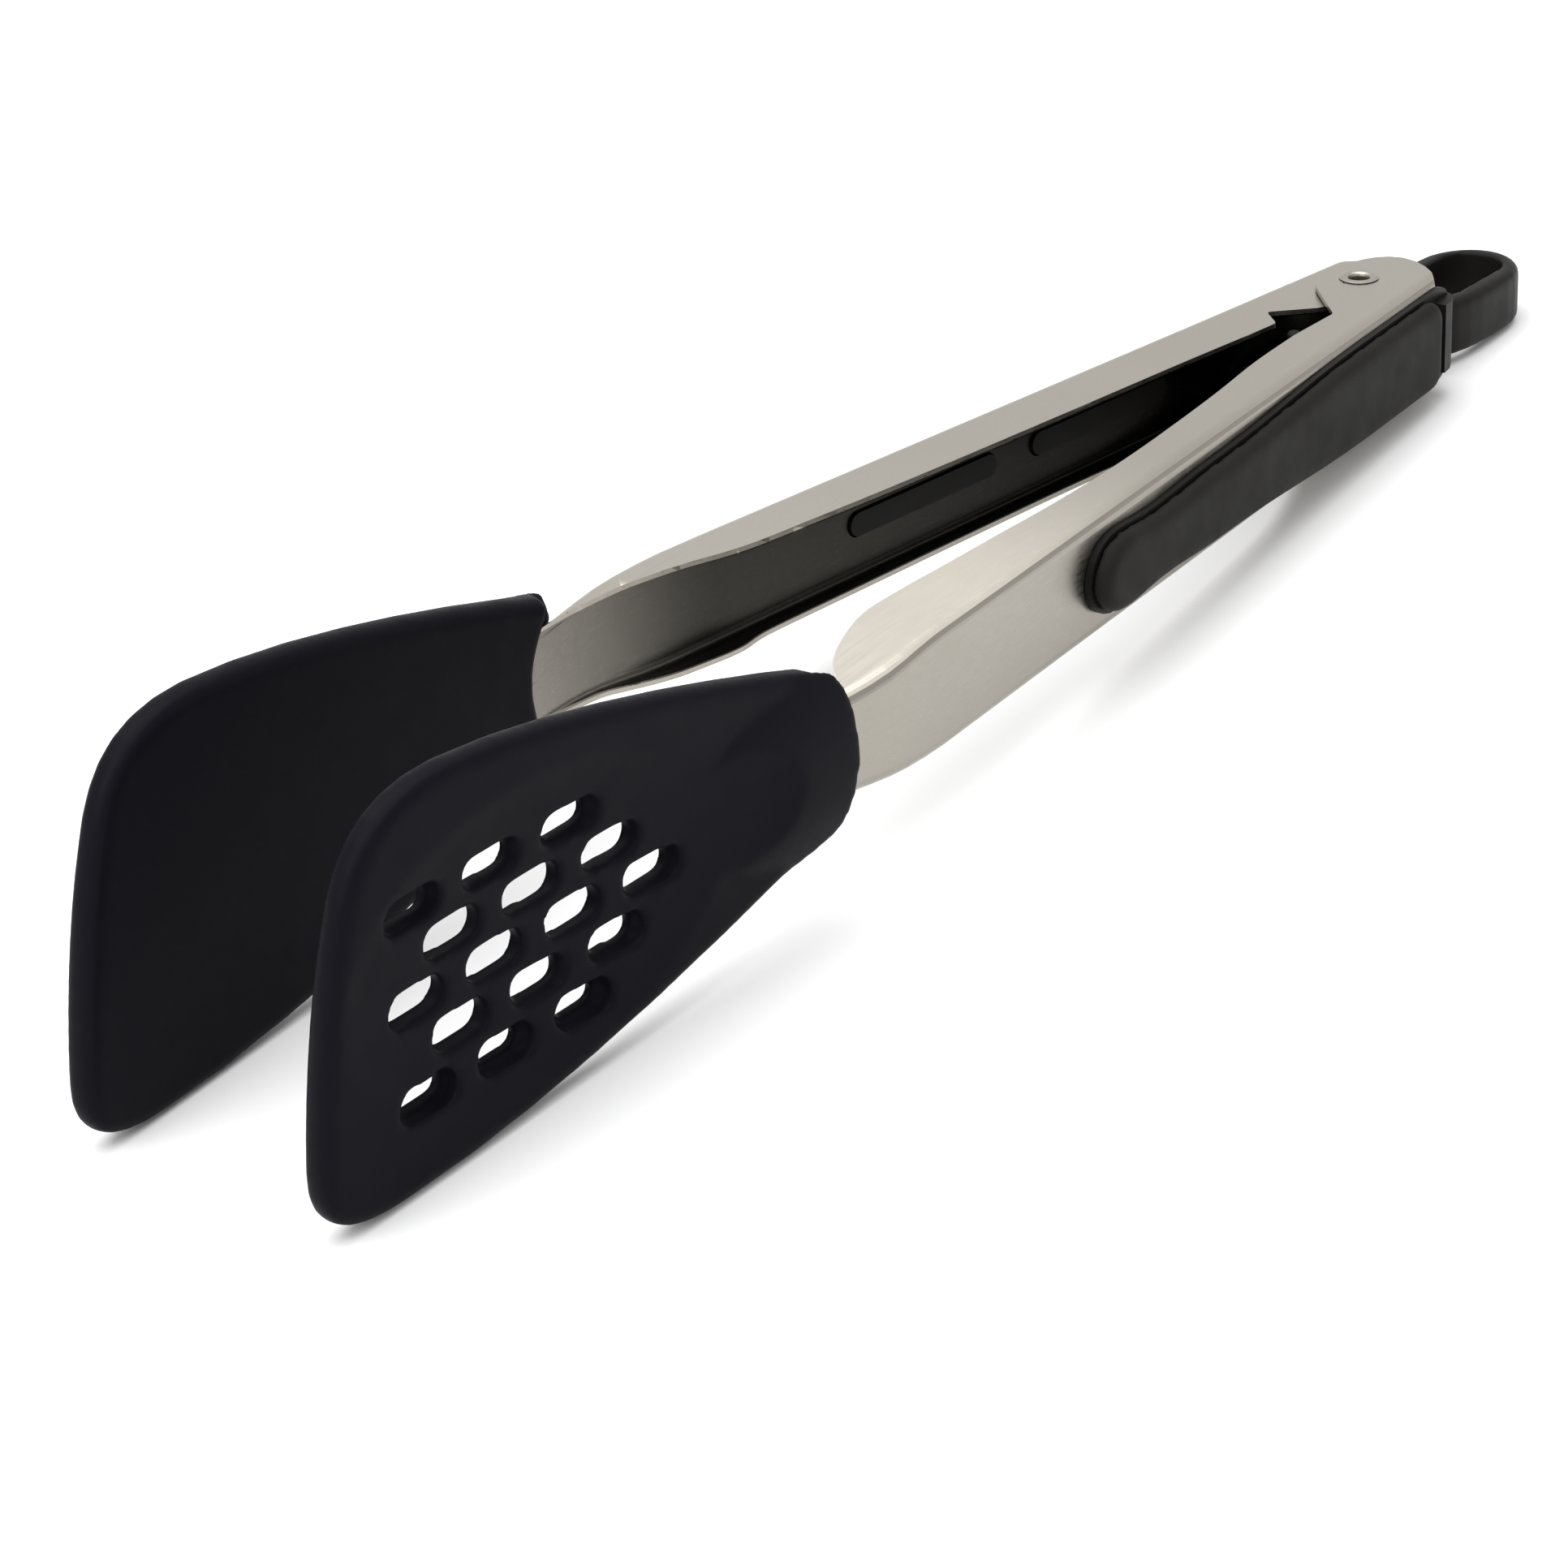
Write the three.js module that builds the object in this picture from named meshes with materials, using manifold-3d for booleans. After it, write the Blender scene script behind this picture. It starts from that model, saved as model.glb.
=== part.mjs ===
// Spring-loaded kitchen tongs: two pressed channel arms on a hollow rivet, silicone turner blades,
// soft grips on carriers, a torsion spring and a pull loop that slides a locking bar.
// Millimetres, +Z up. The tongs lie at rest on a table: blades towards -X, hanging loop towards +X.
import * as THREE from "three";
import { mergeVertices } from "three/addons/utils/BufferGeometryUtils.js";
import Module from "manifold-3d";

const wasm = await Module();
wasm.setup();

// ---- driving dimensions -------------------------------------------------------------------------
const DEG = Math.PI / 180;
const ARM_OPEN = 5.4;          // half angle between the arms at rest, degrees
const REST_TILT = 3.75;        // nose-up lean of the tongs lying on the table, degrees
const SHEET = 1.0;             // arm sheet thickness
const WEB = 11.3;              // outer face of an arm's web, from the mid plane when parallel
const HALF_OUT = 9.85;         // half height of the outer arm's channel at the pivot
const HALF_OUT_HEAD = 9.55;    // and towards its blade
const HALF_IN = 8.55;          // half height of the inner arm, whose ears nest in the outer ones
const HALF_IN_HEAD = 9.7;
const HEAD_TAPER = 1.9;        // how much lower the channels get where the silicone starts
const BEND = 2.2;              // outside bend radius
const ARM_REAR = 5.8;          // rear end of the arms behind the pivot
const TONGUE_END = -209;       // tip of the steel tongue inside the silicone

const BLADE_T = 4.8;           // silicone thickness at the rim
const TOE = 7.16;              // turn of a blade plane against its arm, degrees
const BLADE_X = -240;          // station the blade plane turns about
const BLADE_V = -3.0;          // inner face of the blade at that station
const HOLE_L = 10.8;
const HOLE_W = 4.7;
const PITCH_X = 15.0;
const PITCH_Z = 6.6;
const HOLE_X0 = -265.0;
const HOLE_Z0 = -3.0;
const HOLE_STEP = 2.0;         // depth of the narrower inner mouths of the slots

const GRIP_FRONT = -117.5;
const GRIP_REAR = 8.9;
const PAD_REAR = 2.4;
const GRIP_HALF = 6.4;         // half height of the grips at their front bulb
const GRIP_REAR_OUT = 8.2;     // and at their rear, on the outer arm
const GRIP_REAR_IN = 6.9;      // and on the narrower inner arm
const CARRIER_T = 1.0;
const PAD_T = 2.6;
const SLOT_L = 35;
const SLOT_W = 4.4;
const SLOT_X = [-99.8, -56.5];

const RIVET_R = 2.5;
const RIVET_BORE = 1.75;
const SLEEVE_R = 3.5;
const ROLL_R = 3.4;            // rolled-over end of the hollow rivet
const WIRE_R = 0.6;
const COIL_R = 4.5;
const COIL_TURNS = 4;
const BAR_R = 1.2;
const BAR_X = -20.6;           // locking bar, unlocked
const TRAVEL = 6.5;            // pull-out travel of the loop
const PLATE_Z = -6.9;          // underside of the slider plate
const PLATE_T = 1.2;
const LOOP_X0 = 15.0;
const LOOP_X1 = 46.5;
const LOOP_HALF = 9.2;
const LOOP_WALL = 3.4;
const LOOP_Z0 = -8.5;
const LOOP_Z1 = 1.5;

// ---- small helpers ------------------------------------------------------------------------------
function solid(geometry) {
  const g = geometry.clone();
  g.deleteAttribute("normal");
  g.deleteAttribute("uv");
  const m = mergeVertices(g, 1e-4);
  return new wasm.Manifold(new wasm.Mesh({
    numProp: 3,
    vertProperties: new Float32Array(m.attributes.position.array),
    triVerts: new Uint32Array(m.index.array),
  }));
}

function geometryOf(body) {
  const mesh = body.getMesh();
  const g = new THREE.BufferGeometry();
  g.setAttribute("position", new THREE.BufferAttribute(new Float32Array(mesh.vertProperties), 3));
  g.setIndex(new THREE.BufferAttribute(new Uint32Array(mesh.triVerts), 1));
  return g;
}

function polygon(points) {
  return new THREE.Shape(points.map(([x, y]) => new THREE.Vector2(x, y)));
}

function extrude(shape, depth, options = {}) {
  return new THREE.ExtrudeGeometry(shape, { depth, bevelEnabled: false, curveSegments: 8, ...options });
}

// prism standing along Z from z0 to z1; the shape is drawn in X and Y
function prismZ(shape, z0, z1, segments = 8) {
  return extrude(shape, z1 - z0, { curveSegments: segments }).translate(0, 0, z0);
}

// prism from v0 to v1 outwards from the mid plane of an arm (v = -Y); the shape is drawn in X and Z
function prismV(shape, v0, v1, segments = 8) {
  return extrude(shape, v1 - v0, { curveSegments: segments }).rotateX(Math.PI / 2).translate(0, -v0, 0);
}

function obround(cx, cy, length, width) {
  const s = new THREE.Shape();
  const r = width / 2;
  const a = length / 2 - r;
  s.absarc(cx + a, cy, r, -Math.PI / 2, Math.PI / 2, false);
  s.absarc(cx - a, cy, r, Math.PI / 2, 1.5 * Math.PI, false);
  return s;
}

function roundRect(x0, y0, x1, y1, r) {
  const s = new THREE.Shape();
  s.absarc(x1 - r, y0 + r, r, -Math.PI / 2, 0, false);
  s.absarc(x1 - r, y1 - r, r, 0, Math.PI / 2, false);
  s.absarc(x0 + r, y1 - r, r, Math.PI / 2, Math.PI, false);
  s.absarc(x0 + r, y0 + r, r, Math.PI, 1.5 * Math.PI, false);
  return s;
}

function mirrored(geometry) {
  const g = geometry.index ? geometry.toNonIndexed() : geometry.clone();
  g.scale(1, -1, 1);
  const p = g.attributes.position;
  for (let i = 0; i < p.count; i += 3) {
    const a = [p.getX(i), p.getY(i), p.getZ(i)];
    p.setXYZ(i, p.getX(i + 1), p.getY(i + 1), p.getZ(i + 1));
    p.setXYZ(i + 1, ...a);
  }
  return g;
}

// ---- the web line of an arm, seen from above ----------------------------------------------------
const HEAD_A = -168;           // web starts to dip towards the blade
const HEAD_B = -200;           // web lies in the blade's middle

function bladeV(x) {
  return BLADE_V + Math.tan(TOE * DEG) * (x - BLADE_X);
}

function webOuter(x) {
  if (x >= HEAD_A) return WEB;
  const target = (q) => bladeV(q) + BLADE_T / 2 + SHEET / 2;
  if (x <= HEAD_B) return target(x);
  const span = HEAD_A - HEAD_B;
  const t = (x - HEAD_B) / span;
  const slope = Math.tan(TOE * DEG) * span;
  const from = target(HEAD_B) * (2 * t ** 3 - 3 * t ** 2 + 1);
  return from + slope * (t ** 3 - 2 * t ** 2 + t) + WEB * (3 * t ** 2 - 2 * t ** 3);
}

function smooth(x, a, b) {
  const t = Math.min(1, Math.max(0, (x - a) / (b - a)));
  return t * t * (3 - 2 * t);
}

// rounded U section swept through uneven stations, webs outward; fat grows every face
function channel(halfAt, stations, fat = 0) {
  const w = WEB + fat;
  const h = HALF_OUT + fat;
  const t = SHEET + 2 * fat;
  const s = new THREE.Shape();
  s.moveTo(9, -h);
  s.lineTo(9, -h + t);
  s.absarc(-w + BEND + fat, -h + BEND + fat, BEND + fat - t, 1.5 * Math.PI, Math.PI, true);
  s.absarc(-w + BEND + fat, h - BEND - fat, BEND + fat - t, Math.PI, Math.PI / 2, true);
  s.lineTo(9, h - t);
  s.lineTo(9, h);
  s.absarc(-w + BEND + fat, h - BEND - fat, BEND + fat, Math.PI / 2, Math.PI, false);
  s.absarc(-w + BEND + fat, -h + BEND + fat, BEND + fat, Math.PI, 1.5 * Math.PI, false);
  const steps = stations.length - 1;
  const g = extrude(s, steps, { steps, curveSegments: 4 });
  const p = g.attributes.position;
  for (let i = 0; i < p.count; i++) {
    const x = stations[Math.round(p.getZ(i))];
    const z = p.getY(i);
    const drop = h - (halfAt(x) + fat);
    const shift = Math.sign(z) * drop * smooth(Math.abs(z), 0, h - BEND - fat);
    p.setXYZ(i, x, p.getX(i) + WEB - webOuter(x), z - shift);
  }
  return g;
}

function headStations() {
  const list = [];
  for (let i = 0; i <= 8; i++) list.push(HEAD_B + ((HEAD_A - HEAD_B) * i) / 8);
  return list;
}

function stations() {
  return [TONGUE_END, ...headStations(), -163, -158, -150, -120, -90, -60, -30, ARM_REAR + 8];
}

// half heights run smoothly from the pivot to the head and drop where the silicone starts
function outerHalf(x) {
  return HALF_OUT + (HALF_OUT_HEAD - HALF_OUT) * smooth(x, 0, -150) - HEAD_TAPER * smooth(x, -157, -186);
}

function innerHalf(x) {
  const along = Math.min(1, Math.max(0, -x / 150));
  return HALF_IN + (HALF_IN_HEAD - HALF_IN) * along - HEAD_TAPER * smooth(x, -157, -186);
}

// free edges of the upper flanges from the pivot to the blade: X and distance from the mid plane
const FREE_OUTER = [
  [-30, 2.7], [-44, 2.6], [-59, 3.4], [-74, 3.8], [-88, 3.9], [-101, 3.5], [-113, 2.7], [-125, 1.5],
  [-138, 0.3], [-149, -0.8], [-159, -1.3], [-168, 0.3], [-174, 2.6], [-178, 5.6], [-182, 7.0], [-186, 7.0],
];
const FREE_INNER = [
  [-30, -0.6], [-48, -0.3], [-75, -0.2], [-100, 0.0], [-120, 0.3], [-135, 0.8], [-146, 1.2],
  [-152, 2.0], [-158, 3.5], [-164, 5.1], [-170, 6.6], [-177, 7.4], [-182, 7.4], [-188, 6.6],
];
// the lower flanges are shallower along the arm
const FREE_LOWER = [
  [-30, 2.6], [-40, 5.0], [-52, 7.0], [-66, 7.6], [-90, 7.6], [-120, 7.4], [-136, 7.3], [-141, 7.0],
  [-146, 6.1], [-153, 6.5], [-160, 7.3], [-167, 8.6], [-172, 9.2], [-178, 8.4], [-186, 7.0],
];

// the part of the channel that is kept, seen from above (X, Y = -v): web, flange and ear
function sideProfile(deep, free) {
  const s = new THREE.Shape();
  s.moveTo(ARM_REAR, -14);
  s.lineTo(ARM_REAR, -11.3);
  s.bezierCurveTo(8.4, -9.6, 12.6, -5.6, 12.7, -2.2);
  s.bezierCurveTo(12.7, 1.2, 10.2, 3.4, 6.4, 4.6);
  s.bezierCurveTo(4.2, 6.3, 1.8, 6.7, 0, 6.6);
  s.bezierCurveTo(-3, 6.5, -5.6, 5.6, -7.5, 4.2);
  if (deep) {
    s.lineTo(-13.6, 1.5);
    s.lineTo(-19.6, -3.4);
    s.quadraticCurveTo(-20.3, -3.9, -20.9, -3.1);
    s.lineTo(-23.3, 0.1);
    s.quadraticCurveTo(-23.7, 0.6, -24.6, 0.6);
  } else {
    s.lineTo(-17.5, -3.5);
    s.quadraticCurveTo(-18.3, -4.0, -19.2, -3.7);
  }
  s.lineTo(free[0][0], -free[0][1]);
  s.splineThru(free.slice(1).map(([x, v]) => new THREE.Vector2(x, -v)));
  for (const x of [-194, -200, TONGUE_END - 1]) s.lineTo(x, -webOuter(x) + 1.6);
  s.lineTo(TONGUE_END - 1, -14);
  return s;
}

// outline of web and tongue from the side (X, Z)
function webOutline(grow = 0) {
  const s = new THREE.Shape();
  const n = 7.6 + grow;
  s.moveTo(ARM_REAR + 8, -10.5);
  s.lineTo(ARM_REAR + 8, 10.5);
  s.lineTo(-186, 10.5);
  s.lineTo(-190, n);
  s.lineTo(TONGUE_END + 8, n - 0.6);
  s.absarc(TONGUE_END + 7 - grow, 0, 7 + grow, Math.PI / 2, 1.5 * Math.PI, false);
  s.lineTo(-190, -n);
  s.lineTo(-186, -10.5);
  return s;
}

function arm(halfAt, deep, free) {
  let body = solid(channel(halfAt, stations()));
  const upper = solid(prismZ(sideProfile(deep, free), 0, 12, 4));
  const lower = solid(prismZ(sideProfile(deep, FREE_LOWER), -12, 0, 4));
  body = body.intersect(upper.add(lower));
  body = body.intersect(solid(prismV(webOutline(), -12, 14)));
  for (const x of SLOT_X) body = body.subtract(solid(prismV(obround(x, 0, SLOT_L, SLOT_W), 8, 13)));
  // the web ends before the ears do
  const open = halfAt(0) - BEND;
  body = body.subtract(solid(prismV(polygon([[ARM_REAR, -open], [20, -open], [20, open], [ARM_REAR, open]]), 7, 14)));
  const bore = new THREE.CylinderGeometry(RIVET_R + 0.15, RIVET_R + 0.15, 30, 32).rotateX(Math.PI / 2);
  return geometryOf(body.subtract(solid(bore)));
}

// space the tongue needs inside the silicone
function tonguePocket(halfAt) {
  const list = [TONGUE_END - 0.2, ...headStations()];
  let body = solid(channel(halfAt, list, 0.15));
  const keep = polygon([
    [HEAD_A + 1, -14], [HEAD_A + 1, -7.5], [-176, -webOuter(-176) + 2.2], [-184, -webOuter(-184) + 2.2],
    [-192, -webOuter(-192) + 2.2], [-200, -webOuter(-200) + 2.2],
    [TONGUE_END - 1, -webOuter(TONGUE_END - 1) + 2.2], [TONGUE_END - 1, -14],
  ]);
  body = body.intersect(solid(prismZ(keep, -12, 12)));
  return body.intersect(solid(prismV(webOutline(0.2), -12, 14)));
}

// ---- silicone blades ----------------------------------------------------------------------------
function bladeOutline() {
  const s = new THREE.Shape();
  s.moveTo(-184.6, -11.8);
  s.bezierCurveTo(-181.8, -11.0, -180.3, -6.5, -180.2, 0);
  s.bezierCurveTo(-180.3, 7.0, -181.2, 12.5, -185.2, 13.0);
  s.bezierCurveTo(-205, 18.9, -236, 26.6, -257, 27.2);
  s.bezierCurveTo(-270, 27.4, -275.6, 21.5, -278.2, 12);
  s.bezierCurveTo(-281, 4, -283.4, -8, -284.4, -19.5);
  s.bezierCurveTo(-285.0, -27.5, -280, -29.2, -271, -28.9);
  s.bezierCurveTo(-243, -28, -212, -19.8, -184.6, -11.8);
  return s;
}

// a cap of a large ellipsoid, flat side on the blade's outer face; negative height dishes it
function cap(x, z, halfX, halfZ, height) {
  const rise = Math.abs(height);
  const k = 4;
  const wide = 1 / Math.sqrt(1 - ((k - 1) / k) ** 2);
  const ball = new THREE.SphereGeometry(1, 36, 30).rotateX(Math.PI / 2);
  ball.scale(halfX * wide, halfZ * wide, k * rise);
  return solid(ball.translate(x, z, BLADE_T + Math.sign(-height) * (k - 1) * rise));
}

function bladeBody(withHoles, halfAt) {
  const edge = 1.5;
  const plate = extrude(bladeOutline(), BLADE_T - 2 * edge, {
    bevelEnabled: true, bevelThickness: edge, bevelSize: 1.8, bevelOffset: -1.8, bevelSegments: 2,
    curveSegments: 7,
  });
  let body = solid(plate.translate(0, 0, edge));
  // low swelling over the steel tongue, trimmed to the outline
  const trim = solid(extrude(bladeOutline(), 12, { curveSegments: 7 }));
  const upper = solid(new THREE.BoxGeometry(400, 200, 20).translate(-200, 0, BLADE_T + 8.5));
  body = body.add(cap(-188, 0, 26, 13, 2.6).intersect(trim).intersect(upper));
  // shallow dish in the outer face
  body = body.subtract(cap(-243, -1, 37, 21, -1.9));
  if (withHoles) {
    for (const [x, z, narrow] of holeCentres()) {
      const outer = extrude(obround(x, z, HOLE_L, HOLE_W), 12, { curveSegments: 5 });
      const inner = extrude(obround(x, z, HOLE_L - 1.6 * narrow, HOLE_W - narrow), 12, { curveSegments: 5 });
      body = body.subtract(solid(outer.translate(0, 0, HOLE_STEP)));
      body = body.subtract(solid(inner.translate(0, 0, -6)));
    }
  }
  const g = geometryOf(body);
  g.rotateX(Math.PI / 2);
  g.translate(-BLADE_X, 0, 0).rotateZ(-TOE * DEG).translate(BLADE_X, -BLADE_V, 0);
  return geometryOf(solid(g).subtract(tonguePocket(halfAt)).subtract(innerScoop()));
}

// the silicone stops short of the arm on its inner side and shows the steel
function innerScoop() {
  const s = new THREE.Shape();
  s.moveTo(-176, 16);
  s.lineTo(-187.2, 16);
  s.lineTo(-187.2, 11.4);
  s.bezierCurveTo(-188.4, 8.6, -191.2, 6.0, -191.2, 1.0);
  s.bezierCurveTo(-191.2, -3.5, -189.5, -7.6, -187.0, -9.8);
  s.lineTo(-176, -9.8);
  const depth = polygon([
    [-176, 10], [-195, 10], [-195, 0.5 - webOuter(-195)], [-190, 0.5 - webOuter(-190)],
    [-185, 0.5 - webOuter(-185)], [-180, 0.5 - webOuter(-180)], [-176, 0.5 - webOuter(-176)],
  ]);
  return solid(prismV(s, -10, 14)).intersect(solid(prismZ(depth, -30, 30)));
}

// centres of the slots, row by row from the top, and how much narrower each one's inner mouth is
function holeCentres() {
  const list = [];
  const narrow = [[1.1, 0.9, 1.4], [0, 0, 0.4], [0, 0, 0, 0.8], [0.1, 0.9, 1.4], [1.1, 2.0, 2.0]];
  narrow.forEach((slots, row) => {
    const offset = row % 2 === 1 ? PITCH_X / 2 : 0;
    slots.forEach((less, i) => {
      list.push([HOLE_X0 + offset + i * PITCH_X, HOLE_Z0 + (2 - row) * PITCH_Z, less]);
    });
  });
  return list;
}

// ---- grips --------------------------------------------------------------------------------------
function gripOutline(rear, rearHalf, inset = 0) {
  const h = GRIP_HALF - inset;
  const waist = h - 0.6;
  const high = rearHalf - inset;
  const front = GRIP_FRONT + inset;
  const r = 3.6;
  const s = new THREE.Shape();
  s.absarc(rear - r, high - r, r, 0, Math.PI / 2, false);
  s.lineTo(-26, high);
  s.bezierCurveTo(-45, high, -58, h, -78, h);
  s.bezierCurveTo(-86, h, -90, waist, -97, waist);
  s.bezierCurveTo(-103, waist, -105, h, -109, h);
  s.bezierCurveTo(front + 2, h, front, h - 4, front, 0);
  s.bezierCurveTo(front, -h + 4, front + 2, -h, -109, -h);
  s.bezierCurveTo(-105, -h, -103, -waist, -97, -waist);
  s.bezierCurveTo(-90, -waist, -86, -h, -78, -h);
  s.bezierCurveTo(-58, -h, -45, -high, -26, -high);
  s.absarc(rear - r, -high + r, r, 1.5 * Math.PI, 2 * Math.PI, false);
  return s;
}

const CARRIER_V = WEB + 0.1;
const PAD_V = CARRIER_V + CARRIER_T + 0.1;

function carrierGeometry(rearHalf) {
  const outline = gripOutline(GRIP_REAR, rearHalf);
  let body = solid(prismV(outline, CARRIER_V, CARRIER_V + CARRIER_T, 7));
  for (const x of SLOT_X) {
    const plug = obround(x, 0, SLOT_L - 0.6, SLOT_W - 0.6);
    body = body.add(solid(prismV(plug, WEB - SHEET - 0.5, CARRIER_V + 0.5, 5)));
  }
  // end wall that wraps the rear edge of the web, with a block behind the pad
  const low = -rearHalf + 2.6;
  const wrap = roundRect(ARM_REAR + 0.3, low, GRIP_REAR, rearHalf - 1.6, 1.4);
  body = body.add(solid(prismV(wrap, WEB - 2.2, CARRIER_V + 0.5, 4)));
  const corner = polygon([
    [PAD_REAR + 0.3, -CARRIER_V - 0.5], [GRIP_REAR, -CARRIER_V - 0.5], [GRIP_REAR - 0.4, -13.0],
    [GRIP_REAR - 1.6, -13.9], [GRIP_REAR - 3.6, -14.6], [PAD_REAR + 0.3, -14.8],
  ]);
  return geometryOf(body.add(solid(prismZ(corner, low, rearHalf - 1.8))));
}

function padGeometry(rearHalf) {
  const edge = 2.0;
  const g = extrude(gripOutline(PAD_REAR, rearHalf, 0.4), PAD_T - edge, {
    bevelEnabled: true, bevelThickness: edge, bevelSize: 2.2, bevelOffset: -2.2, bevelSegments: 4,
    curveSegments: 6,
  });
  const flat = solid(g).intersect(solid(new THREE.BoxGeometry(200, 40, 40).translate(-60, 0, 20)));
  return geometryOf(flat).rotateX(Math.PI / 2).translate(0, -PAD_V, 0);
}

// ---- pivot parts --------------------------------------------------------------------------------
function turned(points, segments = 28) {
  const profile = points.map(([r, z]) => new THREE.Vector2(r, z));
  return new THREE.LatheGeometry(profile, segments).rotateX(Math.PI / 2);
}

function rivetGeometry() {
  const top = HALF_OUT + 0.1;
  const b = RIVET_BORE;
  return turned([
    [b, -top - 0.8], [3.6, -top - 0.8], [4.0, -top - 0.5], [4.0, -top], [RIVET_R, -top],
    [RIVET_R, top], [ROLL_R - 0.1, top], [ROLL_R, top + 0.06], [ROLL_R - 0.5, top + 0.2],
    [b + 0.5, top + 0.22], [b + 0.1, top], [b, top - 0.4], [b, -top - 0.8],
  ]);
}

function sleeveGeometry() {
  const h = HALF_IN - SHEET - 0.15;
  const r = RIVET_R + 0.15;
  return turned([[r, -h], [SLEEVE_R, -h], [SLEEVE_R, h], [r, h], [r, -h]]);
}

function springGeometry() {
  const rise = 2 * WIRE_R + 0.25;
  const z0 = -2.9;
  const points = [];
  const tipY = 11.1;
  const tipX = -19;
  const angle = Math.atan2(tipY - COIL_R, -tipX);
  points.push([tipX, tipY, z0], [-10, COIL_R + Math.tan(angle) * 10, z0]);
  const per = 12;
  for (let i = 0; i <= COIL_TURNS * per + per / 2; i++) {
    const a = Math.PI / 2 - (2 * Math.PI * i) / per;
    points.push([COIL_R * Math.cos(a), COIL_R * Math.sin(a), z0 + (rise * i) / per]);
  }
  const z1 = z0 + (rise * (COIL_TURNS + 0.5));
  points.push([-10, -COIL_R - Math.tan(angle) * 10, z1], [tipX, -tipY, z1]);
  const curve = new THREE.CatmullRomCurve3(points.map((q) => new THREE.Vector3(...q)), false, "centripetal");
  const wire = new THREE.Shape();
  wire.absarc(0, 0, WIRE_R, 0, 2 * Math.PI, false);
  return new THREE.ExtrudeGeometry(wire, {
    steps: 104, extrudePath: curve, bevelEnabled: false, curveSegments: 3,
  });
}

// ---- locking slider and loop --------------------------------------------------------------------
function sliderPlateGeometry() {
  let body = solid(prismZ(roundRect(BAR_X - 3.2, -4.6, LOOP_X0 + 3.0, 4.6, 2.5), PLATE_Z, PLATE_Z + PLATE_T));
  const slot = obround(-TRAVEL / 2, 0, TRAVEL + 2 * SLEEVE_R + 0.6, 2 * SLEEVE_R + 0.5);
  body = body.subtract(solid(prismZ(slot, -12, 12)));
  const hole = new THREE.CylinderGeometry(BAR_R + 0.05, BAR_R + 0.05, 30, 28).rotateX(Math.PI / 2);
  return geometryOf(body.subtract(solid(hole.translate(BAR_X, 0, 0))));
}

function lockBarGeometry() {
  const h = HALF_IN - SHEET - 0.9;
  const foot = PLATE_Z;
  return turned([
    [0, foot], [BAR_R, foot], [BAR_R, h - 0.4], [BAR_R - 0.4, h], [0, h],
  ], 28).translate(BAR_X, 0, 0);
}

function loopGeometry() {
  const edge = 1.6;
  const outer = new THREE.Shape();
  const r = LOOP_HALF;
  const inner = r - LOOP_WALL;
  outer.moveTo(LOOP_X0, -5.5);
  outer.bezierCurveTo(LOOP_X0 + 3, -r - 1, LOOP_X1 - 16, -r, LOOP_X1 - r - 2, -r);
  outer.bezierCurveTo(LOOP_X1 - 4.4, -r, LOOP_X1, -r + 4.6, LOOP_X1, 0);
  outer.bezierCurveTo(LOOP_X1, r - 4.6, LOOP_X1 - 4.4, r, LOOP_X1 - r - 2, r);
  outer.bezierCurveTo(LOOP_X1 - 16, r, LOOP_X0 + 3, r + 1, LOOP_X0, 5.5);
  const height = LOOP_Z1 - LOOP_Z0;
  const g = extrude(outer, height - 2 * edge, {
    bevelEnabled: true, bevelThickness: edge, bevelSize: edge, bevelOffset: -edge, bevelSegments: 3,
    curveSegments: 7,
  });
  let body = solid(g.translate(0, 0, LOOP_Z0 + edge));
  const eye = roundRect(LOOP_X0 + 3.4, -inner, LOOP_X1 - LOOP_WALL, inner, inner - 0.2);
  body = body.subtract(solid(prismZ(eye, -12, 12, 10)));
  // shoulder behind the arm ends, with the pocket for the slider plate
  const shoulder = extrude(roundRect(-6.4, LOOP_Z0, 6.4, LOOP_Z1 + 1.5, 2.5), 2.6);
  body = body.add(solid(shoulder.rotateX(Math.PI / 2).rotateZ(Math.PI / 2).translate(LOOP_X0, 0, 0)));
  const pocket = new THREE.BoxGeometry(6.4, 9.5, PLATE_T + 0.2);
  return geometryOf(body.subtract(solid(pocket.translate(LOOP_X0, 0, PLATE_Z + PLATE_T / 2))));
}

// ---- assembly -----------------------------------------------------------------------------------
const tongs = new THREE.Group();
tongs.name = "kitchen_tongs";
const lean = new THREE.Matrix4().makeRotationY(REST_TILT * DEG);
const parts = [];

function add(name, geometry, turn, colour, roughness, metalness) {
  const g = geometry.index ? geometry.toNonIndexed() : geometry;
  g.deleteAttribute("normal");
  g.deleteAttribute("uv");
  if (turn) g.rotateZ(turn * DEG);
  g.applyMatrix4(lean);
  parts.push([name, mergeVertices(g, 1e-4), new THREE.MeshStandardMaterial({ color: colour, roughness, metalness })]);
}

const steel = [0xb5b0a8, 0.35, 1.0];
const silicone = [0x23232a, 0.7, 0.0];
const soft = [0x2c2a29, 0.85, 0.0];
const plastic = [0x262525, 0.55, 0.0];

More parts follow.
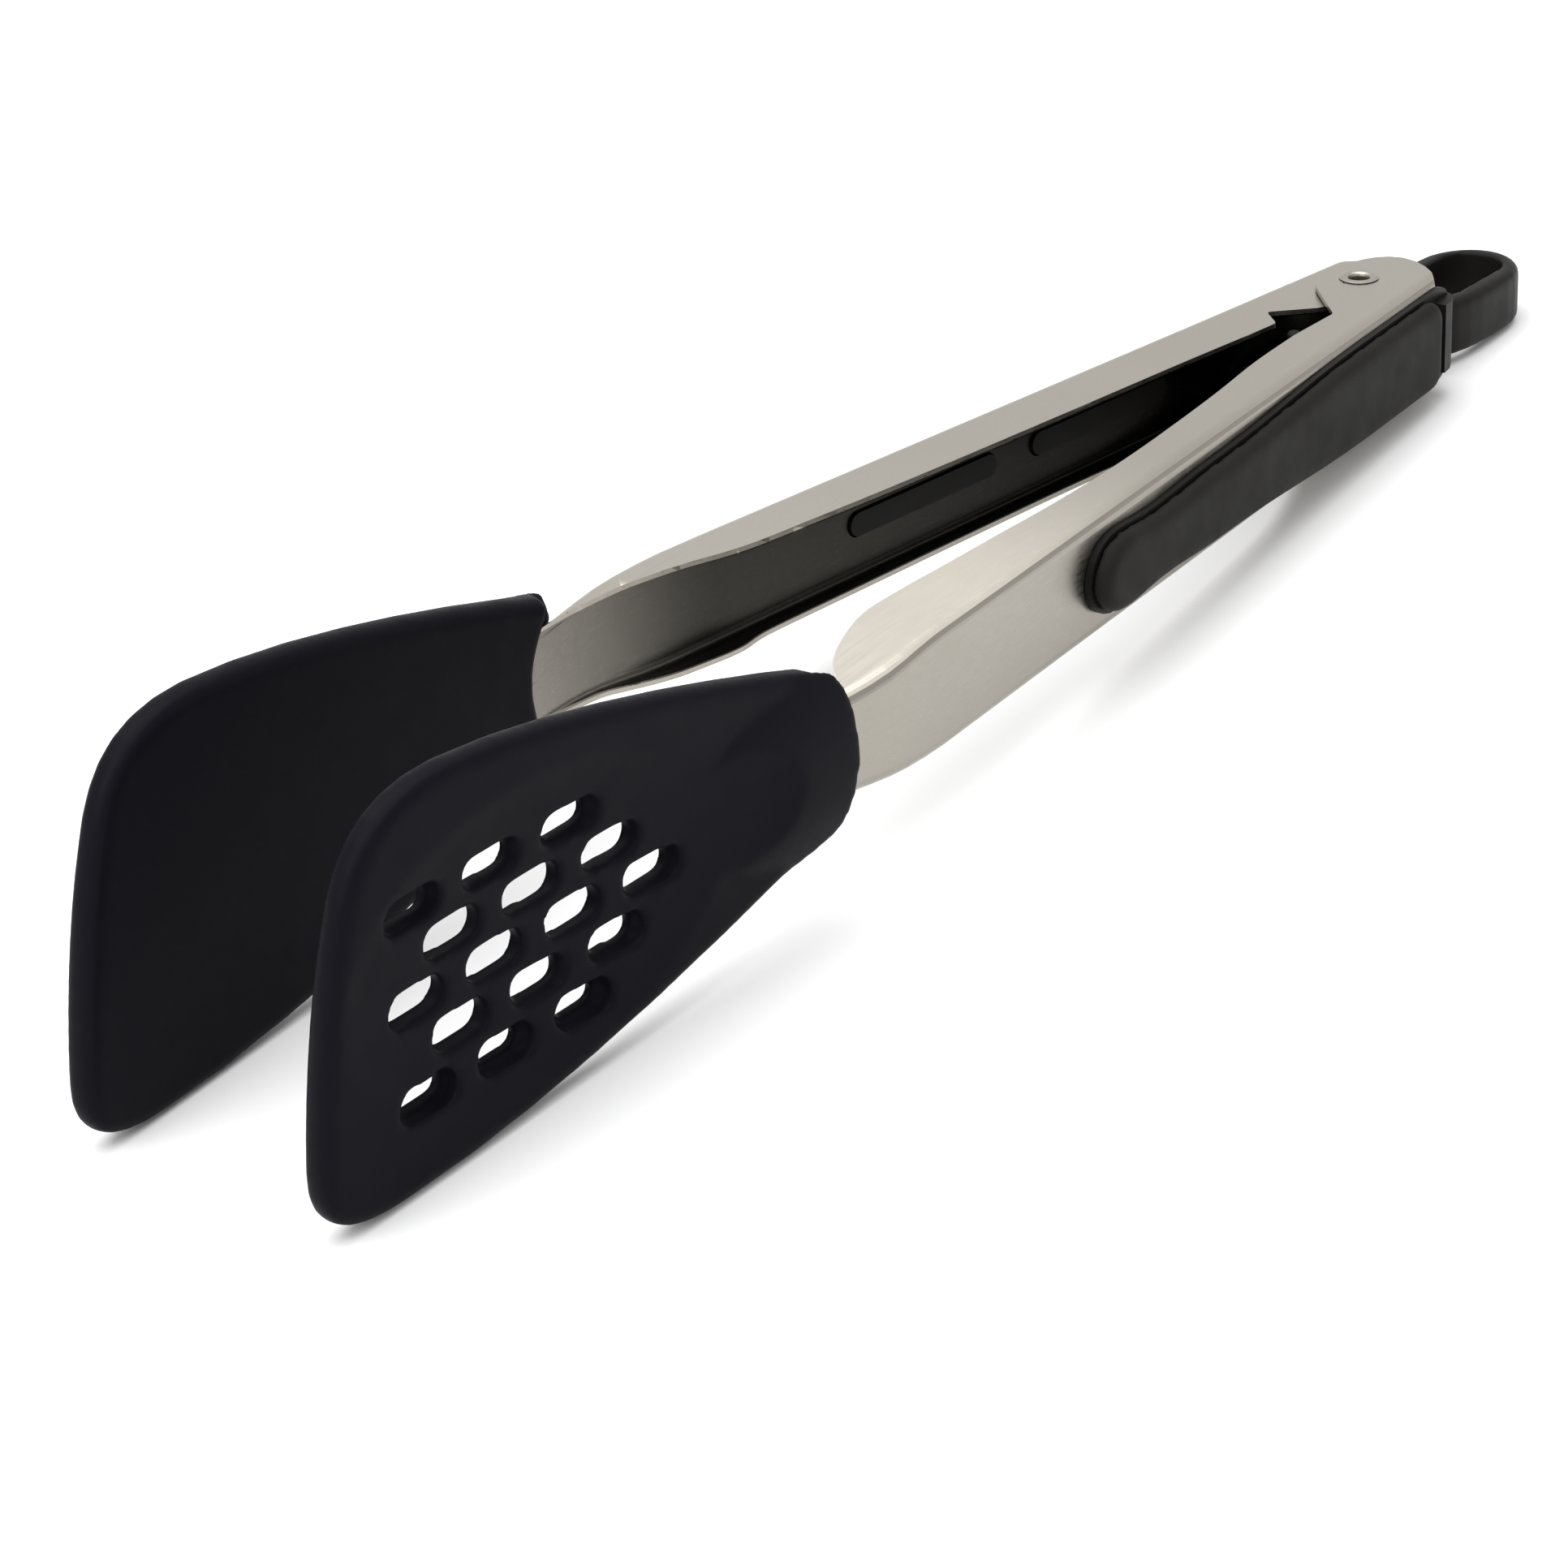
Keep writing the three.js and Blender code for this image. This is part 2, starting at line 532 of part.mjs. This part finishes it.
add("outer_arm", arm(outerHalf, false, FREE_OUTER), ARM_OPEN, ...steel);
add("inner_arm", mirrored(arm(innerHalf, true, FREE_INNER)), -ARM_OPEN, ...steel);
add("slotted_blade", bladeBody(true, outerHalf), ARM_OPEN, ...silicone);
add("solid_blade", mirrored(bladeBody(false, innerHalf)), -ARM_OPEN, ...silicone);
add("outer_grip_carrier", carrierGeometry(GRIP_REAR_OUT), ARM_OPEN, ...plastic);
add("outer_grip_pad", padGeometry(GRIP_REAR_OUT), ARM_OPEN, ...soft);
add("inner_grip_carrier", mirrored(carrierGeometry(GRIP_REAR_IN)), -ARM_OPEN, ...plastic);
add("inner_grip_pad", mirrored(padGeometry(GRIP_REAR_IN)), -ARM_OPEN, ...soft);
add("pivot_rivet", rivetGeometry(), 0, 0xbdb9b2, 0.3, 1.0);
add("pivot_sleeve", sleeveGeometry(), 0, 0xd8d6d0, 0.6, 0.0);
add("torsion_spring", springGeometry(), 0, 0xa8a6a2, 0.35, 1.0);
add("slider_plate", sliderPlateGeometry(), 0, ...plastic);
add("lock_bar", lockBarGeometry(), 0, 0x3a3836, 0.4, 1.0);
add("pull_loop", loopGeometry(), 0, ...plastic);

// stand the part on Z = 0 with its box centred on the origin
const box = new THREE.Box3();
for (const [, g] of parts) box.union(new THREE.Box3().setFromBufferAttribute(g.attributes.position));
const centre = box.getCenter(new THREE.Vector3());
for (const [name, g, material] of parts) {
  g.translate(-centre.x, -centre.y, -box.min.z);
  g.computeVertexNormals();
  const mesh = new THREE.Mesh(g, material);
  mesh.name = name;
  tongs.add(mesh);
}
tongs.userData.pivot = [-centre.x, -centre.y, -box.min.z];

export default tongs;
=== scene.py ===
import math

import bpy
from mathutils import Matrix, Vector


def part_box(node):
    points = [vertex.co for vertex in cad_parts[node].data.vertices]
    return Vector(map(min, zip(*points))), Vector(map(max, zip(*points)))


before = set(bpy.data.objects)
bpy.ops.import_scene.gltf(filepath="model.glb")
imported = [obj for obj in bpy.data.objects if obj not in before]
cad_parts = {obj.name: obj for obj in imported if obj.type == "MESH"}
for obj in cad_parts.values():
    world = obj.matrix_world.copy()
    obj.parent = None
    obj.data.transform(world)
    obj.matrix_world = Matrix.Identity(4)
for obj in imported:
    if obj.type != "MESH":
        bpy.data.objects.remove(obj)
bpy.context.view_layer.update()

scene = bpy.context.scene

MM = 0.001
TILT = math.radians(3.75)         # the arms slope down towards the loop
ARM_TURN = math.radians(5.4)      # half angle between the arms at rest

# an arm's channel in mm: x is 0 at the pivot and falls towards the blade
SKIN = 0.75                       # depth under the outer faces where the inside begins
WEB = 10.55                       # from the mid plane to that depth in the web
WEB_AT_BLADE = 5.0                # the same where the web enters the blade
WEB_DIP = (-200, -168)            # where the web runs in to the blade
FLANGE_RUN = (-150, 0)            # where the flanges' height changes evenly
NECK = (-186, -157)               # where the channel gets lower at the blade's end
NECK_LOSS = 1.9                   # how much of its half height it loses there
# painted shade inside the channel: colour factors from near the blade, then on towards the pivot
PAINTED_SHADE_NEAR_BLADE = (-192, -145, 0.56, 0.095)
PAINTED_SHADE_TO_PIVOT = (-145, -50, 1.0, 0.35)
PAINTED_HIGHLIGHT_RUN = (-150, -85)           # where a painted highlight lightens the top of the near arm towards the blade
FLANK_PAINTED_SHADE = 0.3                  # painted shade: the webs' outer faces' colour is lowered by this much


def middle(node):
    low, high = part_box(node)
    return (Vector(low) + Vector(high)) / 2


PIVOT = middle("pivot_sleeve")
LEAN = Matrix.Translation(PIVOT) @ Matrix.Rotation(TILT, 4, "Y")


# ---- camera -------------------------------------------------------------------
VIEW_AZIMUTH, VIEW_ELEVATION, VIEW_ROLL = (math.radians(v) for v in (-51.48, 25.19, -2.41))
VIEW_DISTANCE = 649.96            # mm, like the two below
VIEW_CENTRE = Vector((-150, 0, 0))
VIEW_OFFSET = (-7.71, -19.87)     # across and up
LENS = 102.87
LENS_SHIFT = (0.0079, -0.0089)


def place_camera():
    """The camera is placed around the tongs' own axes, then leans with them."""
    back = Vector((
        math.sin(VIEW_AZIMUTH) * math.cos(VIEW_ELEVATION),
        -math.cos(VIEW_AZIMUTH) * math.cos(VIEW_ELEVATION),
        math.sin(VIEW_ELEVATION),
    ))
    level = Vector((math.cos(VIEW_AZIMUTH), math.sin(VIEW_AZIMUTH), 0.0))
    upright = back.cross(level)
    right = level * math.cos(VIEW_ROLL) + upright * math.sin(VIEW_ROLL)
    up = upright * math.cos(VIEW_ROLL) - level * math.sin(VIEW_ROLL)
    aim = VIEW_CENTRE + right * VIEW_OFFSET[0] + up * VIEW_OFFSET[1]
    place = (aim + back * VIEW_DISTANCE) * MM
    turn = Matrix((right, up, back)).transposed().to_4x4()
    data = bpy.data.cameras.new("camera")
    data.sensor_width = 36
    data.lens = LENS
    data.shift_x, data.shift_y = LENS_SHIFT
    data.clip_start = 0.05
    data.clip_end = 20
    camera = bpy.data.objects.new("camera", data)
    camera.matrix_world = LEAN @ Matrix.Translation(place) @ turn
    scene.collection.objects.link(camera)
    scene.camera = camera


place_camera()


# ---- materials ------------------------------------------------------------------
class Paint:
    """A principled material with a small tree built from calls."""

    def __init__(self, name, colour, rough, metal=0.0, specular=0.5):
        self.material = bpy.data.materials.new(name)
        self.material.use_nodes = True
        self.nodes = self.material.node_tree.nodes
        self.links = self.material.node_tree.links
        self.shader = self.nodes["Principled BSDF"]
        self.shader.inputs["Base Color"].default_value = (*colour, 1)
        self.shader.inputs["Roughness"].default_value = rough
        self.shader.inputs["Metallic"].default_value = metal
        self.shader.inputs["Specular IOR Level"].default_value = specular
        self.coords = self.nodes.new("ShaderNodeTexCoord").outputs["Object"]

    def noise(self, scale, detail=3.0, turn=0.0, stretch=(1, 1, 1)):
        place = self.nodes.new("ShaderNodeMapping")
        place.inputs["Rotation"].default_value = (0, 0, turn)
        place.inputs["Scale"].default_value = stretch
        self.links.new(self.coords, place.inputs["Vector"])
        noise = self.nodes.new("ShaderNodeTexNoise")
        noise.inputs["Scale"].default_value = scale
        noise.inputs["Detail"].default_value = detail
        self.links.new(place.outputs["Vector"], noise.inputs["Vector"])
        return noise.outputs["Fac"]

    def along(self, value, start, end, low, high, kind="SMOOTHSTEP"):
        """Run from low to high as the value goes from start to end."""
        ramp = self.nodes.new("ShaderNodeMapRange")
        ramp.interpolation_type = kind
        numbers = {"From Min": start, "From Max": end, "To Min": low, "To Max": high}
        for name, number in numbers.items():
            ramp.inputs[name].default_value = number
        self.links.new(value, ramp.inputs["Value"])
        return ramp.outputs["Result"]

    def spread(self, value, low, high):
        """Stretch the middle of a noise over low to high."""
        return self.along(value, 0.3, 0.7, low, high, "LINEAR")

    def tint(self, value, first, second):
        mix = self.nodes.new("ShaderNodeMix")
        mix.data_type = "RGBA"
        mix.inputs["A"].default_value = (*first, 1)
        mix.inputs["B"].default_value = (*second, 1)
        self.links.new(self.spread(value, 0.0, 1.0), mix.inputs["Factor"])
        self.links.new(mix.outputs["Result"], self.shader.inputs["Base Color"])

    def rough(self, value, low, high):
        self.links.new(self.spread(value, low, high), self.shader.inputs["Roughness"])

    def bump(self, value, strength, depth):
        """Raise the surface by a depth in metres."""
        bump = self.nodes.new("ShaderNodeBump")
        bump.inputs["Strength"].default_value = strength
        bump.inputs["Distance"].default_value = depth
        self.links.new(value, bump.inputs["Height"])
        self.links.new(bump.outputs["Normal"], self.shader.inputs["Normal"])


    def math(self, operation, first, second=None):
        step = self.nodes.new("ShaderNodeMath")
        step.operation = operation
        for socket, value in zip(step.inputs, (first, second)):
            if isinstance(value, (int, float)):
                socket.default_value = value
            elif value is not None:
                self.links.new(value, socket)
        return step.outputs["Value"]

    def arm_axes(self, turn):
        """Distances in mm along an arm from the pivot, across it and above it."""
        place = self.nodes.new("ShaderNodeMapping")
        place.vector_type = "TEXTURE"
        place.inputs["Location"].default_value = PIVOT
        place.inputs["Scale"].default_value = (MM, MM, MM)
        lean = Matrix.Rotation(TILT, 3, "Y") @ Matrix.Rotation(turn, 3, "Z")
        place.inputs["Rotation"].default_value = lean.to_euler()
        self.links.new(self.coords, place.inputs["Vector"])
        split = self.nodes.new("ShaderNodeSeparateXYZ")
        self.links.new(place.outputs["Vector"], split.inputs["Vector"])
        return split.outputs["X"], split.outputs["Y"], split.outputs["Z"]

    def darken(self, factor):
        """Scale whatever colour now feeds the shader."""
        base = self.shader.inputs["Base Color"]
        mix = self.nodes.new("ShaderNodeVectorMath")
        mix.operation = "SCALE"
        self.links.new(base.links[0].from_socket, mix.inputs[0])
        self.links.new(factor, mix.inputs["Scale"])
        self.links.new(mix.outputs["Vector"], base)


def brushed(name, turn, first, second, rough):
    """Steel with a fine grain drawn out along a line at this turn."""
    paint = Paint(name, first, rough[0], metal=1.0)
    grain = paint.noise(1.0, 3.0, turn, GRAIN_STRETCH)
    cloud = paint.noise(22.0, 2.0)
    paint.tint(cloud, first, second)
    paint.rough(grain, *rough)
    paint.bump(grain, 0.12, 0.00002)
    return paint


def channel_steel(name, side, half_at_pivot, half_at_blade, top_highlight):
    """Brushed steel with painted shade inside the channel and on the webs' outer faces; a painted
    highlight lifts the top flange near the blade.
    """
    paint = brushed(name, -side * ARM_TURN, STEEL, STEEL_CLOUD, (0.26, 0.36))
    x, y, z = paint.arm_axes(side * ARM_TURN)
    half = paint.along(x, *FLANGE_RUN, half_at_blade - SKIN, half_at_pivot - SKIN, "LINEAR")
    half = paint.math("SUBTRACT", half, paint.along(x, *NECK, NECK_LOSS, 0.0))
    web = paint.math("MULTIPLY", paint.along(x, *WEB_DIP, WEB_AT_BLADE, WEB), -1.0)

    within = paint.math("LESS_THAN", paint.math("ABSOLUTE", z), half)
    behind = paint.math("GREATER_THAN", paint.math("MULTIPLY", y, side), web)
    inside = paint.math("MULTIPLY", within, behind)
    flank = paint.math("SUBTRACT", within, inside)
    top = paint.math("GREATER_THAN", z, half)

    # painted shade inside the channel, deepening towards the pivot
    inside_painted_shade = paint.math("MULTIPLY", paint.along(x, *PAINTED_SHADE_NEAR_BLADE), paint.along(x, *PAINTED_SHADE_TO_PIVOT))
    loss = paint.math("MULTIPLY", inside, paint.math("SUBTRACT", inside_painted_shade, 1.0))
    shade = paint.math("ADD", 1.0, loss)
    # painted shade on the webs' outer faces
    shade = paint.math("SUBTRACT", shade, paint.math("MULTIPLY", flank, FLANK_PAINTED_SHADE))
    # painted highlight on the top flange near the blade
    lift = paint.math("MULTIPLY", top, paint.along(x, *PAINTED_HIGHLIGHT_RUN, top_highlight, 0.0))
    paint.darken(paint.math("ADD", shade, lift))
    return paint.material


def moulded(name, first, second, rough, specular, grain, strength):
    """Silicone, grip or plastic: a faint cloud of two tones and a fine moulded grain."""
    paint = Paint(name, first, rough[0], specular=specular)
    cloud = paint.noise(30.0, 2.0)
    paint.tint(cloud, first, second)
    paint.rough(paint.noise(180.0, 2.0), *rough)
    paint.bump(paint.noise(grain, 2.0), strength, 0.00005)
    return paint.material


GRAIN_STRETCH = (18, 3200, 3200)
STEEL, STEEL_CLOUD = (0.45, 0.42, 0.37), (0.425, 0.395, 0.345)
PIN, PIN_CLOUD = (0.40, 0.375, 0.33), (0.37, 0.345, 0.30)
# the last number is the painted highlight on the top flange near the blade
outer_steel = channel_steel("outer_arm_steel", 1, 9.85, 9.55, 0.7)
inner_steel = channel_steel("inner_arm_steel", -1, 8.55, 9.7, 0.1)
pin_steel = brushed("pin_steel", 0.0, PIN, PIN_CLOUD, (0.32, 0.42)).material
silicone = moulded(
    "silicone", (0.0042, 0.0042, 0.0068), (0.0048, 0.0048, 0.0075), (0.4, 0.48), 0.04, 900, 0.05,
)
soft_grip = moulded(
    "soft_grip", (0.0105, 0.010, 0.0092), (0.0125, 0.012, 0.011), (0.5, 0.6), 0.06, 1500, 0.12,
)
plastic = moulded(
    "hard_plastic", (0.0075, 0.0065, 0.006), (0.009, 0.008, 0.0075), (0.4, 0.48), 0.1, 1200, 0.05,
)
acetal = moulded(
    "sleeve_plastic", (0.62, 0.6, 0.56), (0.6, 0.58, 0.54), (0.45, 0.55), 0.4, 600, 0.05,
)

PAINTS = {
    "outer_arm": outer_steel, "inner_arm": inner_steel,
    "slotted_blade": silicone, "solid_blade": silicone,
    "outer_grip_carrier": plastic, "inner_grip_carrier": plastic,
    "outer_grip_pad": soft_grip, "inner_grip_pad": soft_grip,
    "pivot_rivet": pin_steel, "pivot_sleeve": acetal, "torsion_spring": pin_steel,
    "slider_plate": plastic, "lock_bar": plastic, "pull_loop": plastic,
}
for name, material in PAINTS.items():
    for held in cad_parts[name].material_slots:
        held.material = material


# ---- finer forms of the CAD nodes ---------------------------------------------------
def weld(node):
    step = node.modifiers.new("weld", "WELD")
    step.merge_threshold = 0.002 * MM


def break_edges(name, width, segments=2):
    """Round a node's sharp edges by a width in mm."""
    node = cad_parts[name]
    weld(node)
    step = node.modifiers.new("edges", "BEVEL")
    step.width = width * MM
    step.segments = segments
    step.limit_method = "ANGLE"
    step.angle_limit = math.radians(35)
    step.harden_normals = True
    step.use_clamp_overlap = True


def soften(name, voxel, rounds):
    """Give a node an even skin of voxels this wide in mm, then smooth it."""
    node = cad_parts[name]
    weld(node)
    step = node.modifiers.new("even_skin", "REMESH")
    step.mode = "VOXEL"
    step.voxel_size = voxel * MM
    step.use_smooth_shade = True
    step = node.modifiers.new("soft_edges", "SMOOTH")
    step.factor = 0.5
    step.iterations = rounds


for name in ("outer_arm", "inner_arm"):
    break_edges(name, 0.16)
for name in ("pivot_rivet", "pivot_sleeve", "slider_plate", "lock_bar"):
    break_edges(name, 0.08)
for name in ("outer_grip_carrier", "inner_grip_carrier"):
    break_edges(name, 0.35, segments=3)
for name in ("slotted_blade", "solid_blade"):
    soften(name, 0.5, 10)
for name in ("outer_grip_pad", "inner_grip_pad"):
    soften(name, 0.4, 10)
soften("pull_loop", 0.3, 12)


# ---- floor and light --------------------------------------------------------------------
FLOOR_HALF = 4.0                  # metres, like the lights' places and sizes
STUDIO_WHITE = 0.86


def make_floor():
    mesh = bpy.data.meshes.new("floor")
    half = FLOOR_HALF
    corners = [(-half, -half, 0), (half, -half, 0), (half, half, 0), (-half, half, 0)]
    mesh.from_pydata(corners, [], [(0, 1, 2, 3)])
    floor = bpy.data.objects.new("floor", mesh)
    scene.collection.objects.link(floor)
    mesh.materials.append(Paint("floor", (0.86, 0.86, 0.86), 0.9, specular=0.1).material)


def soft_box(name, place, target, size, power):
    """A square light of this size and power in watts, turned to the target."""
    data = bpy.data.lights.new(name, "AREA")
    data.energy = power
    data.size = size
    light = bpy.data.objects.new(name, data)
    light.location = place
    away = Vector(place) - Vector(target)
    light.rotation_euler = away.to_track_quat("Z", "Y").to_euler()
    scene.collection.objects.link(light)


def white_studio(strength):
    world = bpy.data.worlds.new("studio")
    scene.world = world
    world.use_nodes = True
    background = world.node_tree.nodes["Background"]
    background.inputs["Color"].default_value = (1, 1, 1, 1)
    background.inputs["Strength"].default_value = strength


make_floor()
soft_box("soft_box_top", (-0.12, 0.14, 1.15), (-0.03, 0, 0), 1.5, 18)
soft_box("soft_box_left", (-1.1, 0.2, 0.8), (-0.05, 0, 0), 0.8, 5)
white_studio(STUDIO_WHITE)
scene.view_settings.view_transform = "Standard"
